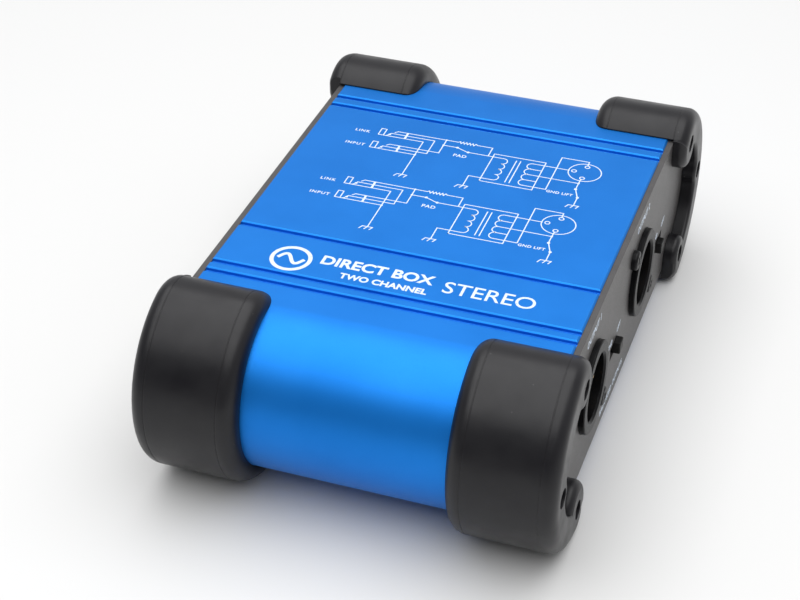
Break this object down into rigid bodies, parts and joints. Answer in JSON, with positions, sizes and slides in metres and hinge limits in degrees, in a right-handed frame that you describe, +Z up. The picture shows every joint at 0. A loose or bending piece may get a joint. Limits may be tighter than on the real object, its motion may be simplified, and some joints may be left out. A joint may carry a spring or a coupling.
{
  "type": "direct injection box",
  "caption": "Stereo direct injection box: blue extruded aluminium sleeve with black rubber corner bumpers, XLR outputs and slide switches on one end, jacks on the other.",
  "frame": {"origin": "middle of the box in plan, on the plane the bumpers rest on", "axes": "+Z up, +X out of the output panel, +Y along the long side from channel 1 to channel 2"},
  "size_m": [0.1006, 0.1568, 0.05],
  "materials": {
    "anodised_blue": "satin anodised with a fine grain",
    "black_rubber": "soft matte",
    "panel_black": "satin black coat",
    "black_zinc": "black plated steel",
    "connector_shell": "black plated zinc die casting",
    "connector_insert": "matte",
    "contact_gold": "gold plated",
    "plated_steel": "bright zinc plated",
    "nickel": "nickel plated",
    "switch_black": "matte",
    "laminate": "paper laminate",
    "jack_plastic": "moulded, matte",
    "board_green": "glass laminate with solder mask",
    "core_steel": "laminated, varnished",
    "bobbin_plastic": "moulded",
    "winding_tape": "polyester tape over copper wire",
    "resistor_body": "lacquered",
    "capacitor_body": "moulded",
    "wire_insulation": "soft"
  },
  "bodies": {
    "box_body": {"bumper_front_input": "black_rubber", "bumper_front_output": "black_rubber", "bumper_rear_input": "black_rubber", "bumper_rear_output": "black_rubber", "capacitors": "capacitor_body", "circuit_board": "board_green", "housing_sleeve": "anodised_blue", "input_end_screws": "black_zinc", "input_jack_body_1": "jack_plastic", "input_jack_body_2": "jack_plastic", "input_jack_bushing_1": "nickel", "input_jack_bushing_2": "nickel", "input_jack_contacts_1": "nickel", "input_jack_contacts_2": "nickel", "input_panel": "panel_black", "jack_nuts": "nickel", "jack_washers": "nickel", "lift_switch_base_1": "laminate", "lift_switch_base_2": "laminate", "lift_switch_frame_1": "plated_steel", "lift_switch_frame_2": "plated_steel", "link_jack_body_1": "jack_plastic", "link_jack_body_2": "jack_plastic", "link_jack_bushing_1": "nickel", "link_jack_bushing_2": "nickel", "link_jack_contacts_1": "nickel", "link_jack_contacts_2": "nickel", "output_end_screws": "black_zinc", "output_panel": "panel_black", "pad_switch_base_1": "laminate", "pad_switch_base_2": "laminate", "pad_switch_frame_1": "plated_steel", "pad_switch_frame_2": "plated_steel", "resistors": "resistor_body", "switch_terminals": "plated_steel", "transformer_bobbin_1": "bobbin_plastic", "transformer_bobbin_2": "bobbin_plastic", "transformer_bracket_1": "plated_steel", "transformer_bracket_2": "plated_steel", "transformer_core_1": "core_steel", "transformer_core_2": "core_steel", "transformer_pins": "plated_steel", "transformer_winding_1": "winding_tape", "transformer_winding_2": "winding_tape", "xlr_insert_1": "connector_insert", "xlr_insert_2": "connector_insert", "xlr_nuts": "plated_steel", "xlr_pins_1": "contact_gold", "xlr_pins_2": "contact_gold", "xlr_screws": "black_zinc", "xlr_shell_1": "connector_shell", "xlr_shell_2": "connector_shell", "xlr_wires_1": "wire_insulation", "xlr_wires_2": "wire_insulation"},
    "lift_lever_1": {"lift_switch_slider_1": "switch_black"},
    "lift_lever_2": {"lift_switch_slider_2": "switch_black"},
    "pad_lever_1": {"pad_switch_slider_1": "switch_black"},
    "pad_lever_2": {"pad_switch_slider_2": "switch_black"}
  },
  "joints": [
    {"name": "lift_switch_1", "type": "slide", "parent": "box_body", "child": "lift_lever_1", "axis": [0, 1, 0], "range_m": [-0.0034, 0]},
    {"name": "lift_switch_2", "type": "slide", "parent": "box_body", "child": "lift_lever_2", "axis": [0, 1, 0], "range_m": [0, 0.0034]},
    {"name": "pad_switch_1", "type": "slide", "parent": "box_body", "child": "pad_lever_1", "axis": [0, 1, 0], "range_m": [0, 0.0034]},
    {"name": "pad_switch_2", "type": "slide", "parent": "box_body", "child": "pad_lever_2", "axis": [0, 1, 0], "range_m": [0, 0.0034]}
  ]
}
